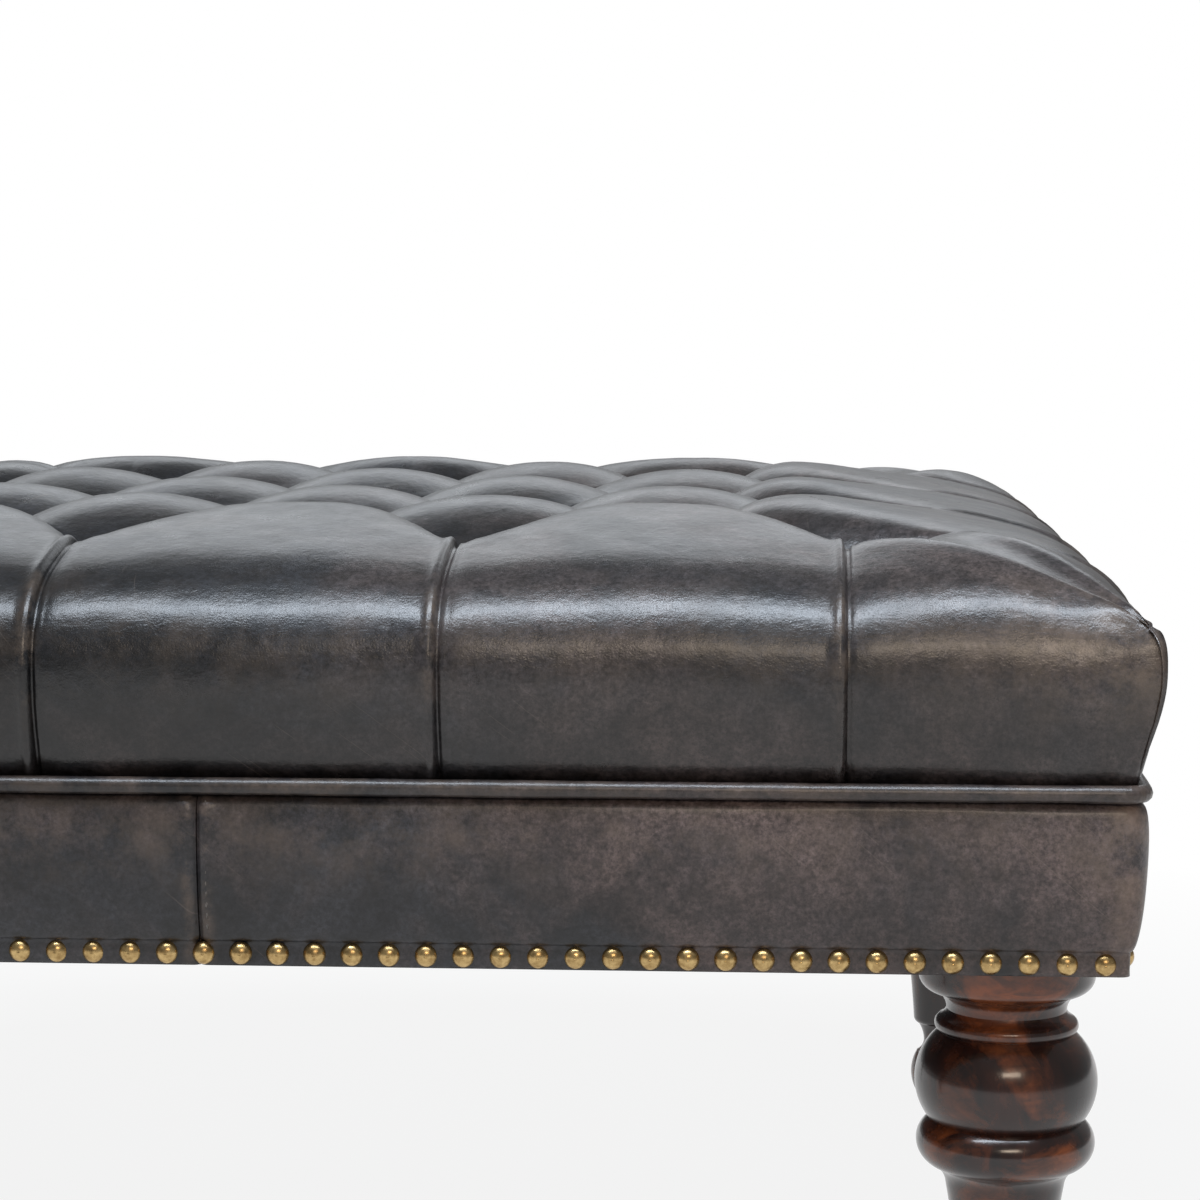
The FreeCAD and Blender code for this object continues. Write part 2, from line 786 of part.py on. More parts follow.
class Skin:
    """The tufted surface at some depth under the leather's face, down to a level base line."""

    def __init__(self, inset, base):
        self.half = size("half")
        self.step = size("tuft_pitch / 2")
        self.rows = count("tuft_count")
        self.margin = size("half - tuft_edge")
        self.base = base
        self.floor = size("seat_base")
        self.high = size("seat_height") - SLOPE_SHARE * inset
        self.low = self.high - size("tuft_depth")
        self.drop = size("pleat_drop")
        self.foot = (size("seat_tuck") + inset, base)
        reach = self.margin + self.step
        out, rise, depth = size("seat_bulge"), size("crown_rise"), size("tuft_depth")
        wall, set_in = size("wall_height"), size("corner_set")
        top, crest = size("corner_height") - inset, size("corner_crest") - SLOPE_SHARE * inset
        swell = (inset - size("wall_swell"), wall)
        shoulder = inset + out / 3
        self.crown = [
            (reach, self.low),
            (reach - size("crown_step"), self.high + rise),
            (self.margin, self.high - rise / 2),
            (size("roll_depth"), self.high - size("roll_drop")),
            (shoulder, self.high - size("shoulder_drop")),
            swell,
            self.foot,
        ]
        self.pleat = [
            (self.margin, self.low),
            (self.margin - depth, self.low + self.drop),
            (self.margin - size("pleat_crest"), self.high - 2 * rise),
            (size("pleat_shelf"), self.high - size("pleat_roll")),
            (shoulder, self.high - size("pleat_shoulder")),
            swell,
            self.foot,
        ]
        self.corner = [
            (inset + set_in, top),
            (inset + set_in / 2, top),
            (inset - out / 6, top),
            (inset - 0.8 * out, blend(wall, top, 0.8)),
            (inset - 1.2 * out, blend(wall, top, 0.4)),
            (inset - out, blend(base, wall, 0.7)),
            self.foot,
        ]
        self.diagonal = [
            (self.margin, self.low),
            (blend(self.margin, set_in, 0.15), crest - self.drop / 2),
            (blend(self.margin, set_in, 0.4), crest),
            (blend(self.margin, set_in, 0.72), blend(top, crest, 0.55)),
            self.corner[0],
        ]

    def spot(self, x, depth, height):
        """A place at the front: how far from the middle, how deep behind the face, how high."""
        return Vector(x, depth - self.half, self.floor + height)

    def edge_height(self):
        return 2 * (self.high - self.drop) - self.low

    def diamond(self, i, j):
        """The puff between four buttons, centred on column i and row j of the half pitch."""
        x, y = i * self.step, j * self.step
        levels = {0: self.low, 1: self.edge_height(), 2: self.low + 4 * self.drop}
        poles = []
        for u in (-1, 0, 1):
            row = []
            for v in (-1, 0, 1):
                height = levels[2 - abs(u) - abs(v)]
                row.append(Vector(x + (u - v) * self.step / 2, y + (u + v) * self.step / 2, self.floor + height))
            poles.append(row)
        return surface(poles)

    def edge_puff(self, i, sign):
        """Half of the puff that rolls over the edge, from its crown line to the pleat beside it."""
        x = i * self.step
        side = x + sign * self.step
        middle = (x + side) / 2
        between = [(self.margin + self.step / 2, self.edge_height())] + self.crown[1:]
        lines = ((side, self.pleat), (middle, between), (x, self.crown))
        return surface([[self.spot(across, *pole) for pole in line] for across, line in lines])

    def corner_puff(self, mirrored):
        """Half of a corner's puff: its four edges blended, and level across the diagonal."""
        last_u, last_v = len(self.diagonal) - 1, len(self.corner) - 1
        pleat = [Vector(self.margin, depth, height) for depth, height in self.pleat]
        corner = [Vector(depth, depth, height) for depth, height in self.corner]
        diagonal = [Vector(depth, depth, height) for depth, height in self.diagonal]
        base = [blend(pleat[-1], corner[-1], u / last_u) for u in range(last_u + 1)]
        poles = []
        for u in range(last_u + 1):
            p = u / last_u
            row = []
            for v in range(last_v + 1):
                q = v / last_v
                ends = blend(blend(pleat[0], corner[0], p), blend(pleat[-1], corner[-1], p), q)
                row.append(blend(pleat[v], corner[v], p) + blend(diagonal[u], base[u], q) - ends)
            if 0 < u < last_u:
                shift = diagonal[u] + Vector(1, -1, 0) * size("corner_lean") * (1 - p) - row[1]
                for v, share in ((1, 1), (2, 0.5), (3, 0.2)):
                    row[v] += shift * share
            if mirrored:
                row = [Vector(spot.y, spot.x, spot.z) for spot in row]
            poles.append([Vector(self.half - x, y - self.half, self.floor + z) for x, y, z in row])
        return surface(poles)

    def faces(self):
        outermost = self.rows - 1
        middles = range(1 - outermost, outermost, 2)
        inside = range(2 - outermost, outermost - 1, 2)
        diamonds = [self.diamond(i, j) for i in middles for j in inside]
        diamonds += [self.diamond(j, i) for i in middles for j in inside]
        side = [self.edge_puff(i, sign) for i in middles for sign in (-1, 1)]
        side += [self.corner_puff(mirrored) for mirrored in (False, True)]
        return diamonds + [turned(face, quarter) for face in side for quarter in range(4)]

    def base_line(self):
        """The straight edges at the foot of the skin, side by side all the way round."""
        out = self.half - self.foot[0]
        along = [-out] + [i * self.step for i in range(1 - self.rows, self.rows)]
        side = [Vector(x, -out, self.floor + self.base) for x in along]
        around = [turn_point(spot, quarter) for quarter in range(4) for spot in side]
        return Part.makePolygon(around + around[:1])


def turn_point(spot, quarter):
    return Rotation(Vector(0, 0, 1), 90 * quarter).multVec(spot)


def turned(face, quarter):
    copy = face.copy()
    copy.rotate(Vector(), Vector(0, 0, 1), 90 * quarter)
    return copy


def flat(*wires):
    """A level face inside the first line and outside the second."""
    return Part.makeFace(list(wires), "Part::FaceMakerBullseye")


def sewn(faces):
    shell = Part.Shell(faces)
    shell.sewShape()
    solid = Part.Solid(shell)
    if solid.Volume < 0:
        solid.reverse()
    return feature(solid)


def window_line(level):
    """The opening in the lip that turns in under the board."""
    edge = size("half - seat_lip")
    corners = [Vector(x * edge, y * edge, level) for x, y in ((-1, -1), (1, -1), (1, 1), (-1, 1))]
    return Part.makePolygon(corners + corners[:1])


def cover():
    """The leather: outer skin, lip under the board and inner skin."""
    leather = size("leather")
    outer, inner = Skin(0, 0), Skin(leather, leather)
    low, high = window_line(size("seat_base")), window_line(size("board_bottom"))
    lip = [flat(outer.base_line(), low), flat(inner.base_line(), high)]
    rim = [Part.makeRuledSurface(a, b) for a, b in zip(low.Edges, high.Edges)]
    return sewn(outer.faces() + inner.faces() + lip + rim)


def wadding():
    near = size("leather + fit")
    outer = Skin(near, size("leather"))
    inner = Skin(near + size("wadding"), size("leather"))
    return sewn(outer.faces() + inner.faces() + [flat(outer.base_line(), inner.base_line())])


def foam():
    skin = Skin(size("leather + wadding + 2 * fit"), size("leather + board_thickness"))
    return sewn(skin.faces() + [flat(skin.base_line())])


def buttons():
    """Where the buttons stand: a square net and a second one in its gaps."""
    spots = []
    for rows in (count("tuft_count"), count("tuft_count") - 1):
        places = [f"{i - (rows - 1) / 2} * tuft_pitch" for i in range(rows)]
        spots += [(x, y) for x in places for y in places]
    return spots


def button(x, y):
    """A covered button whose cone sits in the dip of the leather."""
    cone = doc.addObject("Part::Cone", "Cone")
    bind(cone, Radius1="twine_radius", Radius2="button_radius", Height="button_rim - button_foot")
    place(cone, x, y, "button_foot")
    return fuse(cone, dome("button_radius", "button_dome", x, y, "button_rim"))


def seat():
    spots = buttons()
    rise = "seat_height"
    piece(cut(foam(), [rod("foam_hole_radius", rise, *spot, "board_top") for spot in spots]), "seat_foam")
    for soft, label in ((wadding(), "seat_wadding"), (cover(), "seat_cover")):
        piece(cut(soft, [rod("twine_radius + fit", rise, *spot, "board_top") for spot in spots]), label)
    piece(group([button(*spot) for spot in spots]), "tuft_buttons")
    length = "button_foot - board_bottom"
    piece(group([rod("twine_radius", length, *spot, "board_bottom") for spot in spots]), "tuft_twines")


frame()
legs()
trim()
seat()
doc.recompute()

os.makedirs("parts", exist_ok=True)
for thing in doc.Objects:
    if "Invalid" in thing.State or "Error" in thing.State:
        raise RuntimeError(f"{thing.Label} did not build")
for thing in pieces:
    if thing.Shape.isNull() or not thing.Shape.isValid():
        raise RuntimeError(f"{thing.Label} has no sound shape")
    thing.Shape.exportStep(f"parts/{thing.Label}.step")
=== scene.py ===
import bmesh
import bpy
import json
import math
import numpy as np
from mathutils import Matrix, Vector, noise

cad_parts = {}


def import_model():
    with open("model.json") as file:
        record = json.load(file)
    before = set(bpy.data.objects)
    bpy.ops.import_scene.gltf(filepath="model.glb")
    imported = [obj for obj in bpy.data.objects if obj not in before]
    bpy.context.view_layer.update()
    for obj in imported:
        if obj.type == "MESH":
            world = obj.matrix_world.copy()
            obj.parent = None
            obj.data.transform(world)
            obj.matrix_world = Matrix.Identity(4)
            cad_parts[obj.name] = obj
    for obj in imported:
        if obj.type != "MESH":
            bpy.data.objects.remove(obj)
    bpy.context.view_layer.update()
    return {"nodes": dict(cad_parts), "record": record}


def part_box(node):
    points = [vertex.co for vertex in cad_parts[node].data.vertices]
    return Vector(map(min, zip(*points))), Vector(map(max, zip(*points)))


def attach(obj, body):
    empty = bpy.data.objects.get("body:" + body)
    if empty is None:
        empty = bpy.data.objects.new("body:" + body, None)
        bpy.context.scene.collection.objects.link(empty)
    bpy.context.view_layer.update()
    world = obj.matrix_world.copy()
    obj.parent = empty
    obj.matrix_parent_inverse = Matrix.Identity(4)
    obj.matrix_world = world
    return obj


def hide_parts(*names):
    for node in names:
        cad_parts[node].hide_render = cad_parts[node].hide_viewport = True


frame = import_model()

MM = 0.001

# Places read from the frame
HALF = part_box("apron_band_right")[1][0]
APRON_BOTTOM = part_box("apron_band_right")[0][2]
RAIL_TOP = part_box("apron_band_right")[1][2]
RAIL_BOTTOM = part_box("front_rail")[0][2]
SEAT_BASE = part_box("seat_cover")[0][2]
SEAT_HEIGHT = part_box("seat_cover")[1][2] - SEAT_BASE
WELT_LEVEL = (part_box("welt_cover")[0][2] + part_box("welt_cover")[1][2]) / 2
WELT_RADIUS = (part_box("welt_cover")[1][2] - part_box("welt_cover")[0][2]) / 2
BAND_SEAM = (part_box("apron_band_left")[1][0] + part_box("apron_band_right")[0][0]) / 2
CLOTH_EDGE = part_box("dust_cover")[1][0]
GLIDE_RADIUS = 13 * MM
LEG_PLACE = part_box("leg_glides")[1][0] - GLIDE_RADIUS
LEG_COLLAR = 40 * MM

# Seat sizes
TUFT_PITCH = 179 * MM
TUFT_ROWS = 4
TUFT_DEPTH = 36 * MM
PLEAT_DROP = 14 * MM
SEAT_TUCK = 7 * MM
SEAT_BULGE = 6 * MM
SEAT_LIP = 33 * MM
LEATHER = 1.5 * MM
WALL_HEIGHT = 46 * MM
WALL_SWELL = 13 * MM
CROWN_RISE = 5 * MM
CROWN_STEP = 39 * MM
ROLL_DEPTH = 60 * MM
ROLL_DROP = 12 * MM
SHOULDER_DROP = 26 * MM
PLEAT_CREST = 49 * MM
PLEAT_SHELF = 46 * MM
PLEAT_ROLL = 19 * MM
PLEAT_SHOULDER = 30 * MM
CORNER_HEIGHT = 75 * MM
CORNER_SET = 4 * MM
CORNER_CREST = 109 * MM
CORNER_LEAN = 20 * MM

# Apron and trim sizes
APRON_INSET = 9 * MM
CORNER_ROUND = 12 * MM
NAIL_STRIP = 11 * MM
BULGE_HEIGHT = 60 * MM
WELT_INSET = WELT_RADIUS - 1.5 * MM
NAIL_COUNT = 47
NAIL_END = 18.6 * MM
NAIL_HEIGHT = 5.6 * MM
WELT_ROOM = (WELT_RADIUS + 0.3 * MM) * math.sqrt(2)
STATION = 5 * MM
STITCH_PITCH = 5 * MM
STITCH_LENGTH = 3.6 * MM
STITCH_ASIDE = 4.2 * MM
STITCH_SIZE = (0.55 * MM, 0.45 * MM, STITCH_LENGTH / 2)
NAIL_PULL = 20 * MM
NAIL_PINCH = 6 * MM
SEAM_GROOVE = 1.6 * MM
SEAM_RIDGE = 5 * MM
SEAM_RIDGE_WIDTH = 3 * MM
CLOTH = 0.6 * MM
CLOTH_SAG = 2.4 * MM
CLOTH_LINES = 97


def link(name, data):
    """Put an object with this data in the scene."""
    thing = bpy.data.objects.new(name, data)
    bpy.context.scene.collection.objects.link(thing)
    return thing


def smooth(mesh):
    mesh.polygons.foreach_set("use_smooth", [True] * len(mesh.polygons))


def only(thing):
    """Select one object alone and make it active."""
    bpy.ops.object.select_all(action="DESELECT")
    thing.select_set(True)
    bpy.context.view_layer.objects.active = thing
    return thing


# Materials
class Paint:
    """A material under construction: adds nodes by kind and links or sets their inputs."""

    def __init__(self, name):
        self.material = bpy.data.materials.new(name)
        self.material.use_nodes = True
        self.tree = self.material.node_tree
        self.tree.nodes.clear()
        self.surface = self.add("BsdfPrincipled")
        self.end = self.add("OutputMaterial")
        self.tree.links.new(self.surface.outputs["BSDF"], self.end.inputs["Surface"])
        self.place = self.add("TexCoord").outputs["Object"]

    def add(self, kind, **settings):
        made = self.tree.nodes.new("ShaderNode" + kind)
        for key, value in settings.items():
            setattr(made, key, value)
        return made

    def feed(self, made, **inputs):
        for key, value in inputs.items():
            socket = made.inputs[key.replace("_", " ")]
            if isinstance(value, bpy.types.NodeSocket):
                self.tree.links.new(value, socket)
            else:
                socket.default_value = value
        return made

    def stretched(self, scale, turn=(0, 0, 0)):
        """The object's coordinates, turned and then scaled."""
        made = self.add("Mapping", vector_type="TEXTURE")
        self.feed(made, Vector=self.place, Rotation=turn, Scale=tuple(1 / share for share in scale))
        return made.outputs["Vector"]

    def cloud(self, scale, detail=4, roughness=0.55, spot=None, distortion=0.0):
        made = self.add("TexNoise")
        self.feed(made, Vector=spot or self.place, Scale=scale, Detail=detail)
        self.feed(made, Roughness=roughness, Distortion=distortion)
        return made.outputs["Fac"]

    def cells(self, scale, feature="DISTANCE_TO_EDGE", spot=None):
        made = self.add("TexVoronoi", feature=feature)
        self.feed(made, Vector=spot or self.place, Scale=scale)
        return made.outputs["Distance"]

    def ramp(self, value, *stops):
        made = self.add("ValToRGB")
        points = made.color_ramp.elements
        while len(points) < len(stops):
            points.new(0.5)
        for point, (place, colour) in zip(points, stops):
            point.position = place
            point.color = (*colour, 1) if isinstance(colour, tuple) else (colour, colour, colour, 1)
        self.feed(made, Fac=value)
        return made.outputs["Color"]

    def mix(self, share, a, b, blend="MIX"):
        made = self.add("Mix", data_type="RGBA", blend_type=blend)
        sockets = [s for s in made.inputs if s.enabled]
        for socket, value in zip(sockets, (share, a, b)):
            if isinstance(value, bpy.types.NodeSocket):
                self.tree.links.new(value, socket)
            else:
                socket.default_value = (*value, 1) if isinstance(value, tuple) else value
        return [s for s in made.outputs if s.enabled][0]

    def sum(self, operation, a, b, c=None):
        made = self.add("Math", operation=operation)
        for socket, value in zip(made.inputs, (a, b, c)):
            if isinstance(value, bpy.types.NodeSocket):
                self.tree.links.new(value, socket)
            elif value is not None:
                socket.default_value = value
        return made.outputs["Value"]

    def span(self, value, low, high, to_low, to_high):
        made = self.add("MapRange")
        self.feed(made, Value=value, From_Min=low, From_Max=high, To_Min=to_low, To_Max=to_high)
        return made.outputs["Result"]

    def attribute(self, name):
        return self.add("Attribute", attribute_name=name).outputs["Fac"]

    def bump(self, height, strength, distance, under=None):
        made = self.feed(self.add("Bump"), Height=height, Strength=strength, Distance=distance)
        if under:
            self.feed(made, Normal=under)
        return made.outputs["Normal"]

    def finish(self, **inputs):
        self.feed(self.surface, **inputs)
        return self.material


CHARCOAL = (0.004, 0.0042, 0.005)
SLATE = (0.022, 0.0235, 0.028)
UMBER = (0.070, 0.053, 0.049)
# Pale hide for rubbed places, also the colour of the painted highlight on the pleat folds.
PALE_HIDE_AND_HIGHLIGHT = (0.22, 0.165, 0.125)
HAIRLINE = (0.17, 0.14, 0.12)


def leather(name, tint, brown, gloss):
    """Antiqued hide: slate clouds over charcoal, umber patches that grow stronger towards +x, pebbled grain
    and hairlines.
    """
    p = Paint(name)
    clouds = p.ramp(p.cloud(7.0, 8, 0.64, distortion=0.8), (0.38, CHARCOAL), (0.66, SLATE))
    across = p.feed(p.add("SeparateXYZ"), Vector=p.place)
    # Umber patches, faint towards -x and strongest towards +x.
    rightward = p.span(across.outputs["X"], -0.35, 0.42, 0.35, 1.0)
    patches = p.sum("MULTIPLY", p.cloud(11, 8, 0.66, distortion=0.7), rightward)
    patch_share = p.sum("MULTIPLY", p.ramp(patches, (0.30, 0.0), (0.56, 1.0)), brown)
    colour = p.mix(patch_share, clouds, UMBER)
    for size, low, high in ((110, 0.55, 1.4), (420, 0.4, 1.7)):
        specks = p.ramp(p.cloud(size, 6, 0.75), (0.36, low), (0.64, high))
        colour = p.mix(1.0, colour, specks, "MULTIPLY")
    scuffs = p.ramp(p.cloud(46, 7, 0.72), (0.42, 0.0), (0.64, 1.0))
    # Paler hide where the vertex attribute is high: rubbed shoulders and corners, and a painted highlight
    # on the pleat folds.
    worn_and_highlit = p.sum("MULTIPLY", p.attribute("wear_and_highlight"), scuffs)
    colour = p.mix(p.sum("MULTIPLY", worn_and_highlit, 0.6), colour, PALE_HIDE_AND_HIGHLIGHT)
    hairs = p.cloud(1.0, 2, 0.5, p.stretched((14, 14, 1100), (0.5, 0.65, 0.2)))
    few = p.ramp(p.cloud(9, 3), (0.52, 0.0), (0.62, 1.0))
    lines = p.sum("MULTIPLY", p.ramp(hairs, (0.69, 0.0), (0.72, 1.0)), few)
    colour = p.mix(p.sum("MULTIPLY", lines, 0.35), colour, HAIRLINE)
    colour = p.mix(1.0, colour, tint, "MULTIPLY")
    rough = p.span(p.cloud(40, 6, 0.7), 0.32, 0.68, gloss - 0.04, gloss + 0.07)
    grain = p.bump(p.cells(700), 0.24, 0.0004)
    grain = p.bump(p.cloud(230, 4, 0.6), 0.24, 0.0010, grain)
    wrinkles = p.cloud(1.0, 5, 0.62, p.stretched((70, 70, 190)), 0.5)
    grain = p.bump(wrinkles, 0.15, 0.0020, grain)
    p.finish(Base_Color=colour, Roughness=rough, Normal=grain)
    return p.finish(Specular_IOR_Level=0.5, Coat_Weight=0.2, Coat_Roughness=0.22)


def mahogany():
    """Dark stained, lacquered wood with red showing where the stain is rubbed thin."""
    p = Paint("mahogany")
    rings = p.cloud(1.0, 5, 0.6, p.stretched((95, 95, 14)), 0.8)
    dark, brown, red = (0.008, 0.004, 0.004), (0.034, 0.010, 0.006), (0.11, 0.030, 0.012)
    grain = p.ramp(rings, (0.35, dark), (0.58, brown), (0.75, red))
    thin = p.ramp(p.cloud(19, 5, 0.6, distortion=0.9), (0.50, 0.0), (0.65, 1.0))
    bands = p.cloud(1.0, 4, 0.6, p.stretched((60, 60, 150)), 0.6)
    streaks = p.ramp(bands, (0.42, 0.35), (0.62, 1.0))
    patch_share = p.sum("MULTIPLY", p.sum("MULTIPLY", thin, streaks), 0.95)
    colour = p.mix(patch_share, grain, (0.30, 0.078, 0.020))
    pores = p.bump(p.cloud(1.0, 3, 0.6, p.stretched((900, 900, 60))), 0.10, 0.0005)
    rough = p.span(p.cloud(40, 4), 0.3, 0.7, 0.17, 0.30)
    return p.finish(Base_Color=colour, Roughness=rough, Normal=pores, Coat_Weight=0.35, Coat_Roughness=0.1)


def metal(name, light, dark, roughness):
    p = Paint(name)
    colour = p.mix(p.ramp(p.cloud(320, 5, 0.6), (0.35, 0.0), (0.65, 1.0)), dark, light)
    rough = p.span(p.cloud(700, 4), 0.3, 0.7, roughness - 0.06, roughness + 0.10)
    dents = p.bump(p.cloud(420, 3), 0.10, 0.0003)
    return p.finish(Base_Color=colour, Roughness=rough, Normal=dents, Metallic=1.0)


def plain_wood(name, light, dark, stretch):
    p = Paint(name)
    colour = p.ramp(p.cloud(1.0, 6, 0.6, p.stretched(stretch), 1.2), (0.3, dark), (0.7, light))
    fibres = p.bump(p.cloud(1.0, 4, 0.6, p.stretched(tuple(4 * s for s in stretch))), 0.2, 0.0005)
    return p.finish(Base_Color=colour, Roughness=0.7, Normal=fibres)


def woven(name, light, dark, threads):
    """Plain weave: two crossing sets of threads."""
    p = Paint(name)
    sets = []
    for turn in (0, math.pi / 2):
        wave = p.add("TexWave", wave_type="BANDS", bands_direction="X")
        p.feed(wave, Vector=p.stretched((1, 1, 1), (0, 0, turn)), Scale=threads, Distortion=0.6, Detail=2.0)
        sets.append(wave.outputs["Fac"])
    weave = p.sum("MULTIPLY", *sets)
    colour = p.ramp(weave, (0.1, dark), (0.8, light))
    return p.finish(Base_Color=colour, Roughness=0.9, Normal=p.bump(weave, 0.5, 0.0004), Sheen_Weight=0.2)


def moulded(name, colour):
    p = Paint(name)
    tone = p.ramp(p.cloud(90, 4), (0.3, tuple(0.8 * c for c in colour)), (0.7, colour))
    return p.finish(Base_Color=tone, Roughness=0.5, Normal=p.bump(p.cloud(1500, 2), 0.15, 0.0002))


FINISHES = {
    "leather_seat": leather("seat_leather", (1.0, 1.0, 1.0), 0.75, 0.30),
    "leather_apron": leather("apron_leather", (1.5, 1.45, 1.47), 1.0, 0.40),
    "leather_welt": leather("welt_leather", (1.0, 0.97, 0.97), 0.7, 0.38),
    "mahogany": mahogany(),
    "brass": metal("antique_brass", (0.62, 0.44, 0.20), (0.34, 0.22, 0.09), 0.28),
    "steel": metal("zinc_plate", (0.62, 0.62, 0.62), (0.40, 0.40, 0.41), 0.35),
    "frame_wood": plain_wood("sawn_beech", (0.58, 0.40, 0.24), (0.40, 0.25, 0.14), (30, 30, 30)),
    "plywood": plain_wood("sanded_plywood", (0.66, 0.50, 0.31), (0.50, 0.35, 0.20), (6, 70, 70)),
    "glide_plastic": moulded("glide_black", (0.025, 0.025, 0.026)),
    "cambric": woven("black_cambric", (0.030, 0.030, 0.033), (0.008, 0.008, 0.009), 160),
    "twine": woven("waxed_twine", (0.70, 0.62, 0.46), (0.45, 0.38, 0.26), 300),
    "foam": moulded("foam_cream", (0.80, 0.74, 0.55)),
    "wadding": woven("white_wadding", (0.85, 0.85, 0.83), (0.65, 0.65, 0.63), 120),
}
THREAD = woven("seam_thread", (0.26, 0.23, 0.21), (0.10, 0.09, 0.08), 900)


def dress(thing, slot):
    thing.data.materials.clear()
    thing.data.materials.append(FINISHES[slot])


def dress_frame():
    for part in frame["record"]["subparts"]:
        dress(frame["nodes"][part["node"]], part["material_slot"])


# Tufted seat
def ramp_up(x, start, end):
    return (x - start) / (end - start) if end > start else np.zeros_like(x)


def pulls(count, places):
    """How much each pole of a clamped curve pulls at each place from 0 to 1 along it."""
    degree = min(count - 1, 3)
    spans = count - degree
    knots = np.concatenate([np.zeros(degree), np.arange(spans + 1.0), np.full(degree, spans)])
    x = np.minimum(np.asarray(places, dtype=float) * spans, spans - 1e-9)
    share = [((a <= x) & (x < b)).astype(float) for a, b in zip(knots, knots[1:])]
    for d in range(1, degree + 1):
        share = [
            ramp_up(x, knots[i], knots[i + d]) * share[i]
            + ramp_up(-x, -knots[i + d + 1], -knots[i + 1]) * share[i + 1]
            for i in range(len(share) - 1)
        ]
    return np.stack(share, axis=1)


def patch(poles, across, down):
    """Points of a curved patch on a grid of poles."""
    poles = np.array(poles)
    return np.einsum("iu,uvk,jv->ijk", pulls(poles.shape[0], across), poles, pulls(poles.shape[1], down))


def crowded(count, power):
    """Places from 0 to 1 that crowd towards both ends."""
    t = np.linspace(-1, 1, count)
    return (np.sign(t) * (1 - (1 - np.abs(t)) ** power) + 1) / 2


STEP = TUFT_PITCH / 2
MARGIN = HALF - STEP * (TUFT_ROWS - 1)
LOW = SEAT_HEIGHT - TUFT_DEPTH
EDGE_RISE = 2 * (SEAT_HEIGHT - PLEAT_DROP) - LOW
FOOT = (SEAT_TUCK, 0.0)
ACROSS = crowded(33, 1.5)
DOWN = np.linspace(0, 1, 49) ** 1.2
FAR = 30 * MM
PLAIN, LEFT, RIGHT, SEAM = 0, -1, 1, 2

# Folds of the hide, in millimetres for left of a pleat, plain, right of a pleat and corner seam
FOLD_DEPTHS = (3.0, 2.0, 3.0, 1.9)
FOLD_RISES = (2.2, 0.3, -0.8, 1.0)
FOLD_WIDTH = 1.1 * MM
RIDGE_PLACE = 3.6 * MM
RIDGE_WIDTH = 2.4 * MM
SECOND_FOLD = 9 * MM
SECOND_WIDTH = 1.2 * MM
SECOND_DEPTH = 1.1 * MM
SECOND_HEIGHT = 55 * MM
SEAM_DRAW = 3.2 * MM
SEAM_REACH = 11 * MM
SEAM_FOOT = 25 * MM

# Puckers and wear of the hide
BUTTON_RING = 17 * MM
BUTTON_RING_WIDTH = 9 * MM
BUTTON_PUCKER = 0.5 * MM
GATHERED = 30 * MM
WEAR_LEVEL = 62 * MM
WEAR_SPREAD = 26 * MM
WEAR_DEPTH = 25 * MM
WORN_CORNER = 60 * MM


def between(a, b, share):
    return a + (b - a) * share


def seat_lines():
    """Poles, as depth behind the face and height, of the crown, the pleat, the corner and its diagonal."""
    high, low = SEAT_HEIGHT, LOW
    shoulder, swell = SEAT_BULGE / 3, (-WALL_SWELL, WALL_HEIGHT)
    crown = [
        (MARGIN + STEP, low),
        (MARGIN + STEP - CROWN_STEP, high + CROWN_RISE),
        (MARGIN, high - CROWN_RISE / 2),
        (ROLL_DEPTH, high - ROLL_DROP),
        (shoulder, high - SHOULDER_DROP),
        swell,
        FOOT,
    ]
    pleat = [
        (MARGIN, low),
        (MARGIN - TUFT_DEPTH, low + PLEAT_DROP),
        (MARGIN - PLEAT_CREST, high - 2 * CROWN_RISE),
        (PLEAT_SHELF, high - PLEAT_ROLL),
        (shoulder, high - PLEAT_SHOULDER),
        swell,
        FOOT,
    ]
    top, wall = CORNER_HEIGHT, WALL_HEIGHT
    corner = [
        (CORNER_SET, top),
        (CORNER_SET / 2, top),
        (-SEAT_BULGE / 6, top),
        (-0.8 * SEAT_BULGE, between(wall, top, 0.8)),
        (-1.2 * SEAT_BULGE, between(wall, top, 0.4)),
        (-SEAT_BULGE, 0.7 * wall),
        FOOT,
    ]
    diagonal = [
        (MARGIN, low),
        (between(MARGIN, CORNER_SET, 0.15), CORNER_CREST - PLEAT_DROP / 2),
        (between(MARGIN, CORNER_SET, 0.4), CORNER_CREST),
        (between(MARGIN, CORNER_SET, 0.72), between(top, CORNER_CREST, 0.55)),
        corner[0],
    ]
    return crown, pleat, corner, diagonal


def diamond(i, j):
    """The puff between four buttons: its points, and how far each is from the nearest pleat."""
    levels = {0: LOW, 1: EDGE_RISE, 2: LOW + 4 * PLEAT_DROP}
    ways = (-1, 0, 1)
    turned = [[((u - v) / 2, (u + v) / 2, levels[2 - abs(u) - abs(v)]) for v in ways] for u in ways]
    poles = [[((i + x) * STEP, (j + y) * STEP, z) for x, y, z in row] for row in turned]
    points = patch(poles, ACROSS, ACROSS)
    edge = np.minimum(ACROSS, 1 - ACROSS) * STEP * math.sqrt(2)
    return points, np.minimum.outer(edge, edge), np.full(points.shape[:2], PLAIN)


def edge_puff(i, sign, lines):
    """Half of a puff that rolls over the edge, from its crown to the pleat on one side of it."""
    crown, pleat, _, _ = lines
    x = i * STEP
    middle_line = [(MARGIN + STEP / 2, EDGE_RISE)] + crown[1:]
    rows = ((x + sign * STEP, pleat), (x + sign * STEP / 2, middle_line), (x, crown))
    points = patch([[(a, d - HALF, z) for d, z in line] for a, line in rows], ACROSS, DOWN)
    to_pleat = np.abs(points[:, :, 0] - x - sign * STEP)
    to_button = points[:, :, 1] + HALF - MARGIN
    to_fold = np.abs(to_button - to_pleat) / math.sqrt(2)
    kind = np.where(to_pleat <= to_fold, -sign, PLAIN)
    return points, np.minimum(to_pleat, to_fold), kind


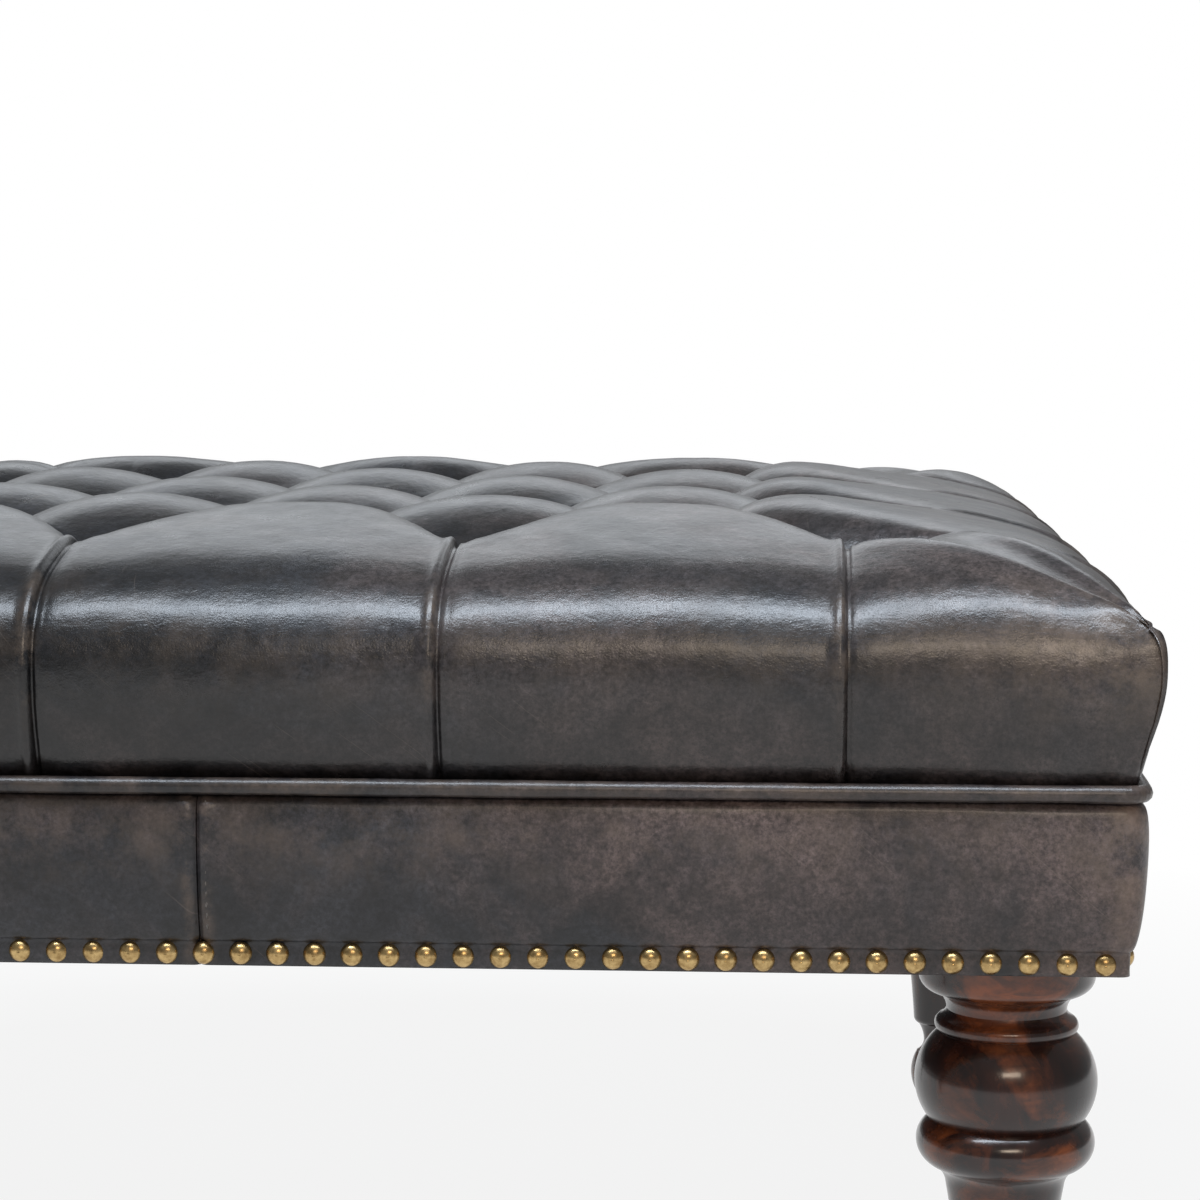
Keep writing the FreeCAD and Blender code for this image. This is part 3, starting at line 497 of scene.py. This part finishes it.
def corner_puff(mirrored, lines):
    """Half of a corner's puff: its four edges blended, and level across the diagonal."""
    _, pleat, corner, diagonal = lines
    left = np.array([(MARGIN, d, z) for d, z in pleat])
    right = np.array([(d, d, z) for d, z in corner])
    top = np.array([(d, d, z) for d, z in diagonal])
    p = np.linspace(0, 1, len(top))[:, None, None]
    q = np.linspace(0, 1, len(left))[None, :, None]
    base = left[-1] * (1 - p[:, 0]) + right[-1] * p[:, 0]
    ends = (left[0] * (1 - p) + right[0] * p) * (1 - q) + (left[-1] * (1 - p) + right[-1] * p) * q
    poles = left[None] * (1 - p) + right[None] * p + top[:, None] * (1 - q) + base[:, None] * q - ends
    inner = slice(1, -1)
    shift = top[inner] + np.array((1, -1, 0)) * CORNER_LEAN * (1 - p[inner, 0]) - poles[inner, 1]
    for v, share in ((1, 1), (2, 0.5), (3, 0.2)):
        poles[inner, v] += shift * share
    points = patch(poles, ACROSS, DOWN)
    to_pleat = np.abs(points[:, :, 0] - MARGIN)
    above_seam = np.maximum(points[:, :, 2] - CORNER_HEIGHT, 0)
    to_seam = np.abs(points[:, :, 1] - points[:, :, 0]) / math.sqrt(2) + 3 * above_seam
    kind = np.where(to_pleat <= to_seam, LEFT if mirrored else RIGHT, SEAM)
    if mirrored:
        points = points[:, :, (1, 0, 2)]
    points[:, :, 0] = HALF - points[:, :, 0]
    points[:, :, 1] -= HALF
    return points, np.minimum(to_pleat, to_seam), kind


def quarter_turn(points, times):
    x, y, z = np.moveaxis(points, 2, 0)
    for _ in range(times):
        x, y = -y, x
    return np.stack([x, y, z], axis=2)


def seat_cells():
    lines = seat_lines()
    outermost = TUFT_ROWS - 1
    middles = range(1 - outermost, outermost, 2)
    inside = range(2 - outermost, outermost - 1, 2)
    cells = [diamond(*place) for i in middles for j in inside for place in ((i, j), (j, i))]
    side = [edge_puff(i, sign, lines) for i in middles for sign in (-1, 1)]
    side += [corner_puff(mirrored, lines) for mirrored in (False, True)]
    return cells + [(quarter_turn(points, n), fold, hand) for points, fold, hand in side for n in range(4)]


def seat_mesh():
    """All the puffs joined along their pleats, closed by a lip and a floor under the board."""
    shape = bmesh.new()
    fold_layer = shape.verts.layers.float.new("fold")
    hand_layer = shape.verts.layers.float.new("hand")
    for points, folds, hands in seat_cells():
        rows = []
        for line, fold_line, hand_line in zip(points, folds, hands):
            row = [shape.verts.new((x, y, z + SEAT_BASE)) for x, y, z in line]
            for vert, fold, hand in zip(row, fold_line, hand_line):
                vert[fold_layer] = fold
                vert[hand_layer] = hand
            rows.append(row)
        for a, b in zip(rows, rows[1:]):
            for k in range(len(a) - 1):
                shape.faces.new((a[k], b[k], b[k + 1], a[k + 1]))
    bmesh.ops.remove_doubles(shape, verts=shape.verts, dist=0.02 * MM)
    rim = [edge for edge in shape.edges if edge.is_boundary]
    made = bmesh.ops.extrude_edge_only(shape, edges=rim)["geom"]
    inward = (HALF - SEAT_LIP) / (HALF - SEAT_TUCK)
    for vert in (item for item in made if isinstance(item, bmesh.types.BMVert)):
        vert.co.x *= inward
        vert.co.y *= inward
        vert[fold_layer] = FAR
    bmesh.ops.contextual_create(shape, geom=[edge for edge in shape.edges if edge.is_boundary])
    bmesh.ops.recalc_face_normals(shape, faces=shape.faces)
    mesh = bpy.data.meshes.new("seat")
    shape.to_mesh(mesh)
    shape.free()
    smooth(mesh)
    return link("tufted_seat", mesh)


def read(mesh, name):
    values = np.empty(len(mesh.vertices))
    mesh.attributes[name].data.foreach_get("value", values)
    return values


def spots(mesh, kind="vertices", field="co"):
    values = np.empty(3 * len(getattr(mesh, kind)))
    getattr(mesh, kind).foreach_get(field, values)
    return values.reshape(-1, 3)


def move(mesh, points):
    mesh.vertices.foreach_set("co", points.ravel())
    mesh.update()


def mark(mesh, name, values):
    made = mesh.attributes.new(name, "FLOAT", "POINT")
    made.data.foreach_set("value", values)


def waves(points, length, seed):
    """Gentle unevenness from -1 to 1 with waves about this long."""
    shift = Vector((seed, 2 * seed, 3 * seed))
    return np.array([noise.noise(Vector(p) / length + shift) for p in points])


def tufts():
    """Where the buttons are, seen from above: a square net and a second one in its gaps."""
    nets = [(np.arange(rows) - (rows - 1) / 2) * TUFT_PITCH for rows in (TUFT_ROWS, TUFT_ROWS - 1)]
    return [(x, y) for net in nets for x in net for y in net]


def bump_at(distance, width):
    return np.exp(-(distance / width) ** 2)


def creases(points, fold, kind):
    """How far the hide stands out or in: the pleats' folds, the corner seams and puckers at the buttons."""
    height = points[:, 2] - SEAT_BASE
    depth = np.choose(kind + 1, FOLD_DEPTHS) * MM
    rise = np.choose(kind + 1, FOLD_RISES) * MM
    out = rise * bump_at(fold - RIDGE_PLACE, RIDGE_WIDTH) - depth * bump_at(fold, FOLD_WIDTH)
    drawn = bump_at(fold, SEAM_REACH) * np.clip(height / SEAM_FOOT, 0, 1)
    out -= np.where(kind == SEAM, SEAM_DRAW, 0) * drawn
    foot = np.clip(1 - height / SECOND_HEIGHT, 0, 1)
    second = bump_at(fold - SECOND_FOLD * foot, SECOND_WIDTH) * np.clip(4 * foot, 0, 1)
    out -= np.where(kind == RIGHT, SECOND_DEPTH, 0) * second * (0.5 + 0.5 * waves(points, 60 * MM, 4))
    for i, (x, y) in enumerate(tufts()):
        ways = points[:, :2] - (x, y)
        angle = np.arctan2(ways[:, 1], ways[:, 0])
        ring = bump_at(np.hypot(*ways.T) - BUTTON_RING, BUTTON_RING_WIDTH)
        out += BUTTON_PUCKER * ring * np.sin(11 * angle + i) * (0.6 + 0.4 * np.sin(3 * angle + 2 * i))
    return out


def seat_wear_and_highlight(points, fold, kind):
    """Pale rubbed hide on the shoulders and corners, and a painted highlight along the left side of the
    pleats' folds on the shoulder.
    """
    height = points[:, 2] - SEAT_BASE
    reach = np.abs(points[:, :2])
    shoulder = bump_at(height - WEAR_LEVEL, WEAR_SPREAD) * (reach.max(axis=1) > HALF - WEAR_DEPTH)
    corner = bump_at(HALF - reach.min(axis=1), WORN_CORNER) * shoulder
    # Painted highlight: a pale strip on the left side of each pleat's fold, at the shoulder only.
    folds = shoulder * bump_at(fold - 3.2 * MM, 3 * MM) * (kind == LEFT)
    return np.clip(0.25 * shoulder + 0.9 * corner + 0.9 * folds, 0, 1)


def hide_waves(points, fold):
    """The hide's own unevenness, fading out at the folds, and the puckers gathered at the corners."""
    reach = np.abs(points[:, :2])
    near_corner = bump_at(HALF - reach.min(axis=1), GATHERED) * bump_at(HALF - reach.max(axis=1), GATHERED)
    uneven = 1.2 * waves(points, 65 * MM, 1) + 0.22 * waves(points, 13 * MM, 2)
    puckers = 1.3 * near_corner * waves(points * (1, 1, 2), 17 * MM, 3)
    return MM * (np.clip(fold / (12 * MM), 0, 1) * uneven + np.clip(fold / (4 * MM), 0, 1) * puckers)


def seat():
    thing = seat_mesh()
    mesh = thing.data
    points, normals = spots(mesh), spots(mesh, "vertex_normals", "vector")
    fold, kind = read(mesh, "fold"), np.rint(read(mesh, "hand")).astype(int)
    out = creases(points, fold, kind) + hide_waves(points, fold)
    move(mesh, points + normals * out[:, None])
    mark(mesh, "wear_and_highlight", seat_wear_and_highlight(points, fold, kind))
    dress(thing, "leather_seat")
    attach(thing, "root")
    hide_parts("seat_cover", "seat_wadding", "seat_foam")


# Apron
def apron_profile():
    """The band's face from its foot to the tuck under the welt: depth behind the face and height."""
    foot, tuck = APRON_INSET - LEATHER, WELT_LEVEL - WELT_ROOM
    swell, strip = APRON_BOTTOM + BULGE_HEIGHT, APRON_BOTTOM + NAIL_STRIP
    rows = [(foot, z) for z in np.linspace(APRON_BOTTOM, strip, 7)]
    for t in np.linspace(0, math.pi / 2, 15)[1:]:
        rows.append((foot * (1 - math.sin(t)), between(strip, swell, 1 - math.cos(t))))
    for t in np.linspace(0, math.pi / 2, 7)[1:]:
        rows.append((WELT_INSET * (1 - math.cos(t)), between(swell, tuck, math.sin(t))))
    rows.append((WELT_INSET + WELT_ROOM - LEATHER, RAIL_TOP))
    return rows + [(APRON_INSET, RAIL_TOP), (APRON_INSET, APRON_BOTTOM)]


def apron_stations(sign):
    """Places along one band from the front seam to the rear one: a spot in plan and the way out of it."""
    turn = HALF - CORNER_ROUND
    gap = 0.2 * MM
    fine = BAND_SEAM + sign * (gap + 14 * MM * np.linspace(0, 1, 15) ** 1.5)
    count = int(abs(sign * turn - fine[-1]) / STATION)
    along = np.concatenate([fine, np.linspace(fine[-1], sign * turn, count)[1:]])
    stations = [((x, -turn), (0, -1)) for x in along]
    bend = [(math.sin(t), -math.cos(t)) for t in np.linspace(0, math.pi / 2, 7)[1:-1]]
    stations += [((sign * turn, -turn), (sign * a, b)) for a, b in bend]
    stations += [((sign * turn, y), (sign, 0)) for y in np.linspace(-turn, turn, int(2 * turn / STATION))]
    stations += [((sign * turn, turn), (sign * -b, a)) for a, b in bend]
    return stations + [((x, turn), (0, 1)) for x in along[::-1]]


def nail_gap(along, aside):
    """How far a place on a side is from the nearest nail, measured along that side."""
    step = (2 * HALF - 2 * NAIL_END) / (NAIL_COUNT - 1)
    start = NAIL_END + (step / 2 if aside else 0)
    return abs((along + HALF - start + step / 2) % step - step / 2)


def apron_lift(k, outer, z, gap, seam, place):
    """How far the band's hide stands out: between nails, beside the seam and by its own unevenness."""
    full = min(1, k / 3) * min(1, (outer - 1 - k) / 3)
    low = bump_at(z - APRON_BOTTOM - NAIL_HEIGHT, NAIL_PULL) * min(1, (z - APRON_BOTTOM) / (4 * MM))
    puff = low * (1 - bump_at(gap, NAIL_PINCH))
    groove = bump_at(seam, SEAM_GROOVE)
    ridge = full * bump_at(seam - SEAM_RIDGE, SEAM_RIDGE_WIDTH)
    uneven = full * noise.noise(Vector(place) / (70 * MM))
    return MM * (1.1 * puff - 1.6 * groove + 0.6 * ridge + 0.9 * uneven)


def apron_band(side, sign):
    rows = apron_profile()
    outer = len(rows) - 2
    points, seam_ways = [], []
    for (cx, cy), (ox, oy) in apron_stations(sign):
        aside = abs(ox) > abs(oy)
        gap = nail_gap(cy if aside else cx, aside)
        seam = abs(cx - BAND_SEAM) if abs(oy) == 1 else FAR
        for k, (depth, z) in enumerate(rows):
            out = CORNER_ROUND - depth
            if k < outer:
                out += apron_lift(k, outer, z, gap, seam, (cx + ox, cy + oy, z))
            points.append((cx + ox * out, cy + oy * out, z))
            seam_ways.append(seam)
    width = len(rows)
    count = len(points) // width
    faces = []
    for i in range(count - 1):
        for k in range(width):
            a, b = i * width + k, i * width + (k + 1) % width
            faces.append((a, b, b + width, a + width))
    faces += [tuple(range(width)), tuple(range((count - 1) * width, count * width))]
    mesh = bpy.data.meshes.new(f"apron_{side}")
    mesh.from_pydata(points, [], faces)
    smooth(mesh)
    thing = only(link(f"apron_{side}", mesh))
    bpy.ops.object.mode_set(mode="EDIT")
    bpy.ops.mesh.select_all(action="SELECT")
    bpy.ops.mesh.normals_make_consistent(inside=False)
    bpy.ops.object.mode_set(mode="OBJECT")
    places = spots(mesh)
    swollen = bump_at(places[:, 2] - APRON_BOTTOM - BULGE_HEIGHT, 18 * MM)
    corner = bump_at(HALF - np.abs(places[:, :2]).min(axis=1), 22 * MM)
    beside_seam = bump_at(np.array(seam_ways) - 4 * MM, 3 * MM)
    mark(mesh, "wear_and_highlight", np.clip(0.35 * swollen + 0.8 * corner + 0.5 * beside_seam, 0, 1))
    dress(thing, "leather_apron")
    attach(thing, "root")
    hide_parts(f"apron_band_{side}", f"apron_wadding_{side}")


def stitches():
    """A row of thread stitches beside the seam, front and rear, sunk a little in the band."""
    bpy.ops.object.select_all(action="DESELECT")
    rows = [row for row in apron_profile() if APRON_BOTTOM + 16 * MM < row[1] < RAIL_TOP - 4 * MM]
    heights, depths = [z for _, z in rows], [d for d, _ in rows]
    made = []
    for z in np.arange(heights[0], heights[-1], STITCH_PITCH):
        for way in (-1, 1):
            reach = HALF - np.interp(z, heights, depths) + 0.25 * MM
            place = (BAND_SEAM + STITCH_ASIDE, way * reach, z)
            bpy.ops.mesh.primitive_uv_sphere_add(segments=8, ring_count=6, radius=1, location=place)
            stitch = bpy.context.object
            stitch.scale = STITCH_SIZE
            stitch.rotation_euler = (0, 0.12, 0)
            made.append(stitch)
    for stitch in made:
        stitch.select_set(True)
    bpy.ops.object.join()
    row = bpy.context.object
    row.name = "seam_stitches"
    bpy.ops.object.transform_apply(location=True, rotation=True, scale=True)
    bpy.ops.object.shade_smooth()
    row.data.materials.append(THREAD)
    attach(row, "root")


def welt():
    """The piping: a rounded square drawn as a curve and given its thickness."""
    bpy.ops.object.select_all(action="DESELECT")
    bpy.ops.mesh.primitive_plane_add(size=2 * (HALF - WELT_INSET), location=(0, 0, WELT_LEVEL))
    thing = bpy.context.object
    thing.name = "welt_piping"
    bpy.ops.object.transform_apply(location=True, rotation=True, scale=True)
    bpy.ops.object.mode_set(mode="EDIT")
    bpy.ops.mesh.bevel(offset=CORNER_ROUND - WELT_INSET, segments=6, affect="VERTICES")
    bpy.ops.mesh.delete(type="ONLY_FACE")
    bpy.ops.mesh.select_all(action="SELECT")
    bpy.ops.mesh.subdivide(number_cuts=5)
    bpy.ops.mesh.subdivide(number_cuts=5)
    bpy.ops.object.mode_set(mode="OBJECT")
    bpy.ops.object.convert(target="CURVE")
    thing.data.bevel_depth = WELT_RADIUS
    thing.data.bevel_resolution = 4
    bpy.ops.object.convert(target="MESH")
    thing = bpy.context.object
    points = spots(thing.data)
    inner = HALF - 6 * MM
    core = np.column_stack([np.clip(points[:, :2], -inner, inner), np.full(len(points), WELT_LEVEL)])
    out = points - core
    move(thing.data, points + 0.12 * out * waves(points, 30 * MM, 7)[:, None])
    mark(thing.data, "wear_and_highlight", np.clip(0.5 + 0.5 * waves(points, 45 * MM, 9), 0, 1))
    bpy.ops.object.shade_smooth()
    dress(thing, "leather_welt")
    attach(thing, "root")
    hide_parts("welt_cover", "welt_cord")


# Dust cover
def dust_cover():
    """Black cambric stretched under the frame, cut round the legs and pulled to its tacks."""
    places = np.linspace(-CLOTH_EDGE, CLOTH_EDGE, CLOTH_LINES)
    step = places[1] - places[0]
    hole = LEG_COLLAR + 0.3 * MM
    shape = bmesh.new()
    grid = [[shape.verts.new((x, y, 0)) for y in places] for x in places]
    for column, beside in zip(grid, grid[1:]):
        for a, b, c, d in zip(column, beside, beside[1:], column[1:]):
            middle = (a.co + c.co) / 2
            if math.hypot(abs(middle.x) - LEG_PLACE, abs(middle.y) - LEG_PLACE) > hole + 0.3 * step:
                shape.faces.new((a, b, c, d))
    bmesh.ops.delete(shape, geom=[v for v in shape.verts if not v.link_faces], context="VERTS")
    for vert in shape.verts:
        axis = Vector((math.copysign(LEG_PLACE, vert.co.x), math.copysign(LEG_PLACE, vert.co.y), 0))
        way = vert.co - axis
        if way.length < hole + 0.9 * step:
            vert.co = axis + way.normalized() * hole
        x, y = vert.co.x / CLOTH_EDGE, vert.co.y / CLOTH_EDGE
        sag = max(0, 1 - abs(x) ** 6) * max(0, 1 - abs(y) ** 6)
        ripple = 0.5 + 0.5 * noise.noise(Vector((9 * x, 9 * y, 0.5)))
        vert.co.z = RAIL_BOTTOM - 0.1 * MM - CLOTH_SAG * sag * ripple
    mesh = bpy.data.meshes.new("dust_cloth")
    shape.to_mesh(mesh)
    shape.free()
    thing = only(link("dust_cloth", mesh))
    thick = thing.modifiers.new("thick", "SOLIDIFY")
    thick.thickness = CLOTH
    thick.offset = -1
    bpy.ops.object.modifier_apply(modifier="thick")
    bpy.ops.object.shade_smooth_by_angle(angle=math.radians(40))
    dress(thing, "cambric")
    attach(thing, "root")
    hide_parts("dust_cover")


# Stage, light and camera
CAMERA_PLACE = (0.250, -1.7554, 0.5278)
CAMERA_DIP = 5.17
CAMERA_TURN = 3.77
CAMERA_LENS = 94.2


def floor():
    bpy.ops.object.select_all(action="DESELECT")
    bpy.ops.mesh.primitive_plane_add(size=14, location=(0, 0, 0))
    ground = bpy.context.object
    ground.name = "floor"
    p = Paint("white_floor")
    p.finish(Base_Color=(0.45, 0.45, 0.45, 1), Roughness=0.9)
    glow = p.feed(p.add("Emission"), Color=(1, 1, 1, 1), Strength=1.0)
    path = p.add("LightPath")
    seen = p.sum("MAXIMUM", path.outputs["Is Camera Ray"], path.outputs["Is Glossy Ray"])
    seen = p.sum("MAXIMUM", seen, path.outputs["Is Transmission Ray"])
    mixed = p.add("MixShader")
    far = p.feed(p.add("VectorMath", operation="LENGTH"), Vector=p.place)
    share = p.span(far.outputs["Value"], 0.6, 1.4, 0.88, 1.0)
    p.tree.links.new(p.sum("MULTIPLY", seen, share), mixed.inputs[0])
    p.tree.links.new(p.surface.outputs["BSDF"], mixed.inputs[1])
    p.tree.links.new(glow.outputs["Emission"], mixed.inputs[2])
    p.tree.links.new(mixed.outputs["Shader"], p.end.inputs["Surface"])
    ground.data.materials.append(p.material)


def world():
    made = bpy.data.worlds.new("studio")
    made.use_nodes = True
    tree = made.node_tree
    back = tree.nodes["Background"]
    back.inputs["Color"].default_value = (1, 1, 1, 1)
    path = tree.nodes.new("ShaderNodeLightPath")
    strength = tree.nodes.new("ShaderNodeMapRange")
    strength.inputs["To Min"].default_value = 0.24
    strength.inputs["To Max"].default_value = 1.0
    tree.links.new(path.outputs["Is Camera Ray"], strength.inputs["Value"])
    tree.links.new(strength.outputs["Result"], back.inputs["Strength"])
    bpy.context.scene.world = made


def lamp(name, place, aim, width, height, watts, colour):
    data = bpy.data.lights.new(name, "AREA")
    data.shape = "RECTANGLE"
    data.size, data.size_y, data.energy, data.color = width, height, watts, colour
    made = link(name, data)
    made.location = place
    made.rotation_euler = (Vector(aim) - Vector(place)).to_track_quat("-Z", "Y").to_euler()


def camera():
    data = bpy.data.cameras.new("camera")
    data.sensor_width = 36
    data.lens = CAMERA_LENS
    made = link("camera", data)
    made.location = CAMERA_PLACE
    made.rotation_euler = (math.radians(90 - CAMERA_DIP), 0, math.radians(CAMERA_TURN))
    bpy.context.scene.camera = made


dress_frame()
seat()
for side, sign in (("left", -1), ("right", 1)):
    apron_band(side, sign)
stitches()
welt()
dust_cover()
floor()
world()
lamp("overhead", (0.1, -0.8, 2.0), (0.05, -0.38, 0.38), 1.8, 0.40, 40, (0.80, 0.89, 1.0))
lamp("bronze", (0.5, -2.6, 1.5), (0.1, -0.4, 0.36), 1.0, 0.35, 12, (1.0, 0.82, 0.64))
lamp("behind", (-0.2, 2.3, 1.5), (0, 0.1, 0.4), 2.6, 1.0, 10, (0.90, 0.95, 1.0))
camera()
bpy.context.scene.view_settings.view_transform = "Standard"
